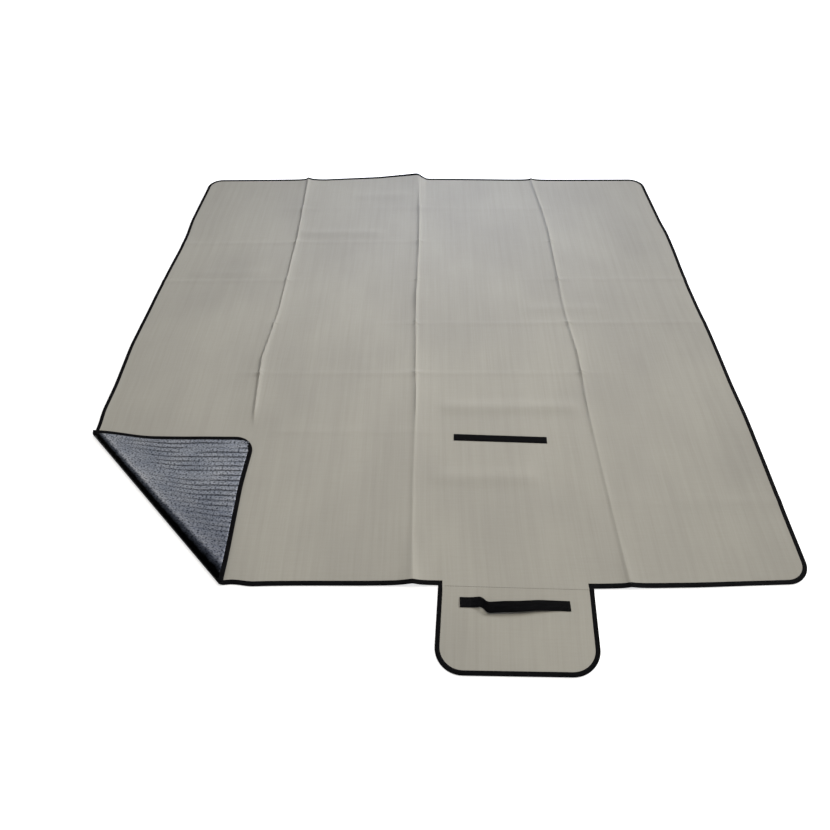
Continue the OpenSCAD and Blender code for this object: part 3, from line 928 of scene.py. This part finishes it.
tongue_path = (
    straight((FLAP_RIGHT, flap_mid), (FLAP_RIGHT, FLAP_END + FLAP_R), LEFTWARD, 5 * MM)
    + arc((FLAP_RIGHT - FLAP_R, FLAP_END + FLAP_R), FLAP_R, 0, -90)
    + straight((FLAP_RIGHT - FLAP_R, FLAP_END), (FLAP_LEFT + FLAP_R, FLAP_END), UPWARD)
    + arc((FLAP_LEFT + FLAP_R, FLAP_END + FLAP_R), FLAP_R, -90, -180)
    + straight((FLAP_LEFT, FLAP_END + FLAP_R), (FLAP_LEFT, flap_mid), RIGHTWARD, 5 * MM)
    + stop((FLAP_LEFT, flap_mid), RIGHTWARD))
corner_path = (
    stop(FOLD_B, (-1, 1)) + straight(FOLD_B - (MITRE, 0), (LEFT + CORNER_R, FRONT), UPWARD)
    + arc((LEFT + CORNER_R, FRONT + CORNER_R), CORNER_R, -90, -180)
    + straight((LEFT, FRONT + CORNER_R), FOLD_A - (0, MITRE), RIGHTWARD)
    + stop(FOLD_A - (0, MITRE), RIGHTWARD) + stop(FOLD_A, (1, -1)))
print("tape round the turned corner", round(run_of(corner_path)[-1], 3), "m")

# %% [markdown]
# The tape's section is one closed outline, given as distance in from the edge and height. It could
# be a bent strip with a solidify modifier, but an outline lets the tape hug the laminate on both
# faces, thin at its cut rims and round at the edge.

# %% Tape sections
def tape_section():
    """The C of the tape, as (distance in from the edge, height): outside first, then inside."""
    w, t, top = TAPE_W, TAPE_T, EDGE_T
    bend = [(0.9 * MM * (1 - math.cos(a)), 0.9 * MM * math.sin(a)) for a in np.linspace(0, math.pi / 2, 4)]
    outside = [(w - 0.3 * MM, top - 0.15 * MM), (w - 1.2 * MM, top), (w / 2, top + 0.12 * MM)]
    outside += [(e, top - 0.9 * MM + u) for e, u in reversed(bend)]
    outside += [(e, 0.9 * MM - u) for e, u in bend]
    outside += [(w / 2, 0.0), (w, 0.0)]
    inside = [(w, t), (1.1 * MM, t + 0.1 * MM), (0.7 * MM, top / 2)]
    inside += [(1.1 * MM, BODY_T + 0.01 * MM), (w, BODY_T + 0.01 * MM)]
    return np.array(outside + inside)


SECTION = tape_section()
SECTION_RUN = np.concatenate([[0], np.cumsum(np.linalg.norm(np.diff(SECTION, axis=0), axis=1))])


def tape_along(name, path, place):
    """Sweeps the section along a path of the flat cut."""
    rings, uvs = [], []
    for (spot, inward), run in zip(path, run_of(path)):
        flat = spot + SECTION[:, :1] * inward
        rings.append(place(flat[:, 0], flat[:, 1], SECTION[:, 1]))
        uvs.append(np.stack([np.full(len(SECTION), run), SECTION_RUN], -1))
    made = sweep(name, rings, [TAPE], uvs)
    return made


print("tape section", len(SECTION), "points,", round(SECTION_RUN[-1] / MM, 1), "mm round")

# %% [markdown]
# A lockstitch runs along the tape. Each stitch is a small grain of thread that dips at both ends.
# Real stitches are 4 mm long; they are drawn 8 mm long so that they show.

# %% Stitches
STITCH_PITCH, STITCH_LONG, STITCH_WIDE = 11 * MM, 8 * MM, 0.9 * MM


def stitch_rows(name, path, place, inset, base, pitch=STITCH_PITCH, long=STITCH_LONG, material=THREAD):
    """Grains of thread along a path, inset from it, on a face at height base."""
    run = run_of(path)
    lines = np.array([p + inset * n for p, n in path])
    points, faces, uvs = [], [], []
    count = int(run[-1] // pitch)
    for k in range(count):
        mid = (k + 0.5) * run[-1] / count
        for t, wide, tall in ((-0.5, 0.35, 0.0), (-0.2, 1.0, 0.30), (0.2, 1.0, 0.30), (0.5, 0.35, 0.0)):
            at = mid + t * long
            c = np.array([np.interp(at, run, lines[:, i]) for i in (0, 1)])
            d = np.array([np.interp(at + 1 * MM, run, lines[:, i]) for i in (0, 1)]) - np.array(
                [np.interp(at - 1 * MM, run, lines[:, i]) for i in (0, 1)])
            d = d / max(float(np.linalg.norm(d)), 1e-9)
            side = np.array([-d[1], d[0]]) * wide * STITCH_WIDE / 2
            ring = [c - side, c - side * 0.5, c + side * 0.5, c + side]
            ups = [base, base + tall * MM, base + tall * MM, base]
            points += [(*r, u) for r, u in zip(ring, ups)]
            uvs += [(at, 0.0), (at, 0.3 * MM), (at, 0.6 * MM), (at, 0.9 * MM)]
        o = 16 * k
        for i in range(3):
            a = o + 4 * i
            faces += [[a + j, a + j + 1, a + j + 5, a + j + 4] for j in range(3)]
            faces.append([a + 3, a, a + 4, a + 7])
        faces += [[o + 3, o + 2, o + 1, o], [o + 12, o + 13, o + 14, o + 15]]
    flat = np.array(points)
    made = make_object(name, place(flat[:, 0], flat[:, 1], flat[:, 2]), faces, uvs, [material],
                       [0] * len(faces))
    return made


print("stitches every", round(STITCH_PITCH / MM), "mm on the binding")

# %% [markdown]
# The binding is laid in lengths that end where the sheets end. Each length goes through the same
# joining function as the sheet it binds, which bakes its placement in, or at the corner fixes it to
# the corner's body, and it carries its own stitches.

# %% Lay every length of binding and its stitches
def bind(name, path, place, join, column):
    """A length of tape with its stitches; join(piece) bakes a piece's placement in, or fixes it to the
    corner's body.
    """
    tape = tape_along(name + "_tape", path, place)
    thread = stitch_rows(name + "_stitches", path, place, TAPE_W - 3 * MM, EDGE_T - LAP)
    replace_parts(tape, column + "_binding")
    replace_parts(thread, column + "_binding_thread")
    join(tape)
    join(thread)


BINDINGS = {
    "left_back": (left_back_path, lie, over_left, "left"),
    "left_front": (left_front_path, lie, over_left, "inner_left"),
    "middle_back": (middle_back_path, lie, over_middle, "inner_left"),
    "middle_front": (middle_front_path, lie, over_middle, "inner_right"),
    "right": (right_path, lie, over_right, "right"),
    "flap_root_left": (root_left_path, lie, over_root, "spine"),
    "flap_root_right": (root_right_path, lie, over_root, "spine"),
    "flap_tongue": (tongue_path, lie, over_tongue, "tongue"),
    "corner": (corner_path, turn_over, lambda piece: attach(piece, "corner"), "corner"),
}
for name, (path, place, join, column) in BINDINGS.items():
    bind(name, path, place, join, column)
    print(name, "binding", round(run_of(path)[-1], 3), "m")

# %% [markdown]
# At both ends of the roll the tape goes round the half turn with the sheet. The fold cuts the edge
# at 45 degrees, so there the section is stretched along the fold by the square root of two.

# %% Binding round the roll
def roll_tape(name, p):
    """The tape at one end of the roll; p is where each point of the section lies along the fold."""
    rings = [roll_over(p, np.full(len(p), turn), SECTION[:, 1]) for turn in ROLL_TURNS]
    uvs = [np.stack([np.full(len(p), turn * ROLL_R), SECTION_RUN], -1) for turn in ROLL_TURNS]
    made = sweep(name, rings, [TAPE], uvs)
    bend_roll(made)


in_from_edge = SECTION[:, 0] * math.sqrt(2)
roll_tape("roll_binding_left", in_from_edge)
roll_tape("roll_binding_front", FOLD_LEN - in_from_edge)
print("roll binding reaches", round(in_from_edge.max() / MM, 1), "mm along the fold")

# %% [markdown]
# ## Closure
# The loop strip is a woven tape with a brushed pile, sewn down all round and a little askew. It
# follows the mat's surface. The pile is one uneven crown, because single loops would be far too
# many. The hook strip sits under the flap's tongue, level with the film.

# %% Loop strip
LOOP_LOW, LOOP_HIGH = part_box("loop_tape")
loop_mid = np.array([(LOOP_LOW.x + LOOP_HIGH.x) / 2, (LOOP_LOW.y + LOOP_HIGH.y) / 2])
CLOSURE_LEN, CLOSURE_W, ASKEW = 0.280, 0.025, math.radians(-2.3)


def on_strip(u, v):
    """Turns a strip's own coordinates into the mat's flat ones."""
    c, s = math.cos(ASKEW), math.sin(ASKEW)
    return loop_mid[0] + u * c - v * s, loop_mid[1] + u * s + v * c


def lie_on_strip(u, v, up):
    """Places a point of the strip on the mat's own surface."""
    return lie(*on_strip(u, v), up)


def strip_grid(margin, step=3.5 * MM):
    """A grid over the strip, inset by a margin."""
    us = np.linspace(-CLOSURE_LEN / 2 + margin, CLOSURE_LEN / 2 - margin, round(CLOSURE_LEN / step))
    vs = np.linspace(-CLOSURE_W / 2 + margin, CLOSURE_W / 2 - margin, round(CLOSURE_W / step) + 2)
    gu, gv = np.meshgrid(us, vs, indexing="ij")
    return np.stack([gu.ravel(), gv.ravel()], -1), quads(len(us), len(vs))


TAPE_TOP = BODY_T + 0.7 * MM
PILE_IN = 2.5 * MM


def pile_height(u, v):
    """The tangled loops: a soft crown with small uneven tufts."""
    edge = np.minimum(CLOSURE_LEN / 2 - np.abs(u), CLOSURE_W / 2 - np.abs(v)) - PILE_IN
    tufts = 0.16 * np.sin(u * 2310 + 3 * np.sin(v * 970)) * np.sin(v * 2090 + 2 * np.sin(u * 830))
    return TAPE_TOP + (0.45 + 0.60 * smooth(edge / (3 * MM)) + tufts * 0.8) * MM


loop_tape = slab("loop_strip_tape", *strip_grid(0.0), lambda u, v: np.full_like(u, BODY_T + LAP),
                 lambda u, v: np.full_like(u, TAPE_TOP), lie_on_strip, [TAPE, TAPE])
loop_pile = slab("loop_strip_pile", *strip_grid(PILE_IN, 2.0 * MM),
                 lambda u, v: np.full_like(u, TAPE_TOP - LAP), pile_height, lie_on_strip, [PILE, PILE])
hu, hv = CLOSURE_LEN / 2 - 1.2 * MM, CLOSURE_W / 2 - 1.2 * MM
loop_stitches = stitch_rows("loop_strip_stitches", round_box(-hu, -hv, hu, hv), lie_on_strip, 0.0,
                            TAPE_TOP - LAP, 5 * MM, 3.6 * MM)
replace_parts(loop_tape, "loop_tape")
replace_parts(loop_pile, "loop_pile")
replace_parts(loop_stitches, "loop_tape_thread")
for piece, slot in ((loop_tape, "closure_tape"), (loop_pile, "loop_pile"), (loop_stitches, "thread")):
    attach(piece, "inner_right")
print("loop strip", CLOSURE_LEN, "x", CLOSURE_W, "m, pile", len(loop_pile.data.vertices), "points")

# %% [markdown]
# The hooks are moulded in rows on a flat strip. Each is drawn as a small leaning peg every 3 mm,
# where real hooks are 1 mm apart, because finer ones would not show.

# %% Hook strip
HOOK_LOW, HOOK_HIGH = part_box("hook_tape")
PLATE_LOW = HOOK_LOW.z + 0.6 * MM
HOOK_ROWS, HOOKS_ACROSS, HOOK_PITCH, HOOK_PITCH_Y = 88, 7, 3.0 * MM, 3.1 * MM


def hook_strip():
    """A plate with rows of pegs on its lower face, inside the CAD strip's own box."""
    points, faces = [], []

    def block(x0, y0, z0, x1, y1, z1, lean=0.0):
        """Adds a box whose top is shifted by lean."""
        o = len(points)
        for z, left, right in ((z0, x0, x1), (z1, x0 + lean, x1 + lean)):
            points.extend([(left, y0, z), (right, y0, z), (right, y1, z), (left, y1, z)])
        faces.extend([[o + 3, o + 2, o + 1, o], [o + 4, o + 5, o + 6, o + 7]])
        faces.extend([[o + j, o + (j + 1) % 4, o + 4 + (j + 1) % 4, o + 4 + j] for j in range(4)])

    block(HOOK_LOW.x, HOOK_LOW.y, PLATE_LOW, HOOK_HIGH.x, HOOK_HIGH.y, HOOK_HIGH.z - LAP)
    for i in range(HOOK_ROWS):
        for j in range(HOOKS_ACROSS):
            x = HOOK_LOW.x + 8 * MM + i * HOOK_PITCH
            y = HOOK_LOW.y + 3.2 * MM + j * HOOK_PITCH_Y
            block(x, y, HOOK_LOW.z + 0.1 * MM, x + 0.9 * MM, y + 0.6 * MM, PLATE_LOW, -0.5 * MM)
    pts = np.array(points)
    made = make_object("hook_strip", pts, faces, pts[:, :2], [HOOKS], [0] * len(faces))
    sharpen(made, 30)
    return made


hook_piece = hook_strip()
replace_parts(hook_piece, "hook_tape")
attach(hook_piece, "flap_tongue")


def under(x, y, up):
    """Places a stitch on the plate's lower face."""
    return np.stack([x, y, PLATE_LOW - up], -1)


SEW_IN = 1.6 * MM
hook_path = round_box(HOOK_LOW.x + SEW_IN, HOOK_LOW.y + SEW_IN, HOOK_HIGH.x - SEW_IN, HOOK_HIGH.y - SEW_IN)
hook_stitches = stitch_rows("hook_strip_stitches", hook_path, under, 0.0, -LAP, 5 * MM, 3.6 * MM)
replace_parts(hook_stitches, "hook_tape_thread")
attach(hook_stitches, "flap_tongue")
print("hook strip has", HOOK_ROWS * HOOKS_ACROSS, "pegs")

# %% [markdown]
# ## Handle
# The handle is one length of webbing. Its ends are turned under and sewn down with a box and a
# cross. Its middle is slack: it kinks towards the flap's end near the left, then runs back.

# %% Webbing handle
TAB_L, TAB_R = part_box("handle_tab_left"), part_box("handle_tab_right")
HANDLE_X = (TAB_L[0].x + TAB_R[1].x) / 2
HANDLE_Y = (TAB_L[0].y + TAB_L[1].y) / 2
HALF_LEN = (TAB_R[1].x - TAB_L[0].x) / 2
WEB_W = TAB_L[1].y - TAB_L[0].y
WEB_T = 1.8 * MM
TAB_LEN = TAB_L[1].x - TAB_L[0].x


def eased(u, points, soft=0.004):
    """Reads (metres along the webbing, millimetres) with rounded kinks."""
    at, value = np.array(points, float).T
    return sum(np.interp(u + d, at, value) for d in (-soft, 0, soft)) / 3 * MM


# Along the webbing in metres, then: the sideways kink and the rise in millimetres, and the twist in
# thousandths of a radian.
KINK = [(-0.137, 1), (-0.084, 0), (-0.069, -17), (-0.030, -15), (0.010, -13), (0.060, -8),
        (0.107, -7), (0.137, -8)]
RISE = [(-0.107, 0), (-0.085, 5), (-0.070, 8.5), (-0.030, 10), (0.020, 7.5), (0.070, 3.5), (0.107, 0)]
TWIST = [(-0.107, 0), (-0.085, 60), (-0.068, 420), (-0.020, 330), (0.040, 120), (0.107, 0)]


def handle_ribbon(u):
    """The webbing's centre line and twist at u metres from its middle."""
    z = BODY_T + height(HANDLE_X + u, HANDLE_Y) + 0.15 * MM + eased(u, RISE)
    return HANDLE_Y + eased(u, KINK), z, eased(u, TWIST)


def webbing_half(name, low, high):
    """Half of the webbing, swept as a slightly cupped ribbon with thin edges."""
    ws = np.linspace(-0.5, 0.5, 9)
    rings, uvs = [], []
    for u in np.linspace(low, high, 46):
        y, z, twist = (float(v) for v in handle_ribbon(np.array(u)))
        cup = 0.5 * MM * (1 - (2 * ws) ** 2)
        edge = WEB_T / 2 * np.sqrt(np.clip(1 - (2 * ws) ** 8, 0.08, 1))
        top = np.stack([np.full(9, HANDLE_X + u), y + ws * WEB_W * math.cos(twist),
                        z + WEB_T / 2 + ws * WEB_W * math.sin(twist) + cup + edge], -1)
        bottom = top[::-1] - np.stack([np.zeros(9), np.zeros(9), 2 * edge[::-1]], -1)
        rings.append(np.concatenate([top, bottom]))
        uvs.append(np.stack([np.full(18, u), np.concatenate([ws, ws[::-1]]) * WEB_W], -1))
    made = sweep(name, rings, [WEBBING], uvs)
    return made


def settle_on_flap(made):
    """No point of the slack webbing goes below the flap's cloth."""
    for v in made.data.vertices:
        floor = BODY_T + 0.1 * MM + float(height(np.array(v.co.x), np.array(v.co.y)))
        v.co.z = max(v.co.z, floor)


handle_left = webbing_half("handle_left_half", -HALF_LEN, 0.0)
handle_right = webbing_half("handle_right_half", 0.0, HALF_LEN)
for made, tab, sign in ((handle_left, "handle_tab_left", -1), (handle_right, "handle_tab_right", 1)):
    settle_on_flap(made)
    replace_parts(made, tab, "handle_strap")
    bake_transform(made)


def tab_stitches(name, sign):
    """A box with a cross, sewn through a webbing end."""
    mid = HANDLE_X + sign * (HALF_LEN - TAB_LEN / 2)
    w, h = TAB_LEN / 2 - 4 * MM, WEB_W / 2 - 4 * MM
    corners = [(-w, -h), (w, -h), (w, h), (-w, h), (-w, -h), (w, h), (w, -h), (-w, h)]
    path = []
    for a, b in zip(corners, corners[1:]):
        path += straight(a, b, (0, 0), 3 * MM)
    path += stop(corners[-1], (0, 0))

    def on_tab(x, y, up):
        z = BODY_T + height(mid + x, HANDLE_Y + y) + WEB_T + 0.5 * MM + up
        return np.stack([mid + x, HANDLE_Y + y + eased(mid + x - HANDLE_X, KINK), z], -1)

    made = stitch_rows(name, path, on_tab, 0.0, 0.0, 4.2 * MM, 3.4 * MM)
    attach(made, "flap_spine")
    return made


for side, sign in (("left", -1), ("right", 1)):
    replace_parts(tab_stitches("tab_stitches_" + side, sign), "tab_stitch_" + side)
print("handle", round(2 * HALF_LEN, 3), "m of webbing,", round(WEB_W / MM), "mm wide")

# %% [markdown]
# The flap is sewn to the mat's front edge by one seam in a thread that matches the cloth. It runs
# a little askew, just outside the fold at the flap's root.

# %% Root seam
root_start, root_end = (FLAP_LEFT + 16 * MM, FRONT - 2 * MM), (FLAP_RIGHT - 14 * MM, FRONT - 4 * MM)
root_path = straight(root_start, root_end, (0, 0)) + stop(root_end, (0, 0))
root_stitches = stitch_rows("root_seam_stitches", root_path, lie, 0.0, BODY_T - LAP, 6.5 * MM, 6 * MM,
                            GREY_THREAD)
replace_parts(root_stitches, "root_seam_thread")
over_root(root_stitches)
print("root seam", round(run_of(root_path)[-1], 3), "m")

# %% [markdown]


# %% [markdown]
# ## Floor and light
# The mat lies on a pale studio floor. A broad soft light above and a bright surround leave only
# a faint shadow under the tape. A cool window lamp lifts the back of the mat, and a low broad sun
# from the back right picks out the ridges.

# %% Studio
def studio_floor():
    """A wide pale sheet just under the mat, which glows a little like a lit backdrop."""
    reach, low = 30, -0.6 * MM
    mesh = bpy.data.meshes.new("floor")
    corners = [(-reach, -reach, low), (reach, -reach, low), (reach, reach, low), (-reach, reach, low)]
    mesh.from_pydata(corners, [], [(0, 1, 2, 3)])
    floor = bpy.data.objects.new("floor", mesh)
    material, tree, shader = surface("studio_floor", roughness=0.9, specular_ior_level=0.1,
                                     emission_strength=0.60)
    shader.inputs["Base Color"].default_value = rgb("#fbfbfb")
    shader.inputs["Emission Color"].default_value = rgb("#ffffff")
    mesh.materials.append(material)
    bpy.context.scene.collection.objects.link(floor)


def soft_light(name, spot, target, size, power, colour):
    """A round lamp at a spot, turned towards a target."""
    light = bpy.data.lights.new(name, "AREA")
    light.shape = "DISK"
    light.size, light.energy, light.color = size, power, rgb(colour)[:3]
    lamp = bpy.data.objects.new(name, light)
    lamp.location = spot
    lamp.rotation_euler = (Vector(target) - Vector(spot)).to_track_quat("-Z", "Y").to_euler()
    lamp.visible_camera = False
    bpy.context.scene.collection.objects.link(lamp)


studio_floor()
world = bpy.data.worlds.new("surround")
world.use_nodes = True
world.node_tree.nodes["Background"].inputs[0].default_value = rgb("#ffffff")
world.node_tree.nodes["Background"].inputs[1].default_value = 0.28
bpy.context.scene.world = world
soft_light("window", (0.22, 1.05, 1.15), (0.18, 0.75, 0), 0.9, 9, "#cfdcff")
soft_light("overhead", (0.20, -0.35, 2.1), (0.15, -0.25, 0), 1.2, 17, "#fff8ec")
low_sun = bpy.data.lights.new("low_window", "SUN")
low_sun.energy, low_sun.angle = 2.5, math.radians(16)
low_lamp = bpy.data.objects.new("low_window", low_sun)
low_lamp.rotation_euler = Vector((-0.75, -0.60, -0.48)).to_track_quat("-Z", "Y").to_euler()
bpy.context.scene.collection.objects.link(low_lamp)
bpy.context.scene.view_settings.view_transform = "Standard"
print("lamps", [lamp.name for lamp in bpy.data.lights])
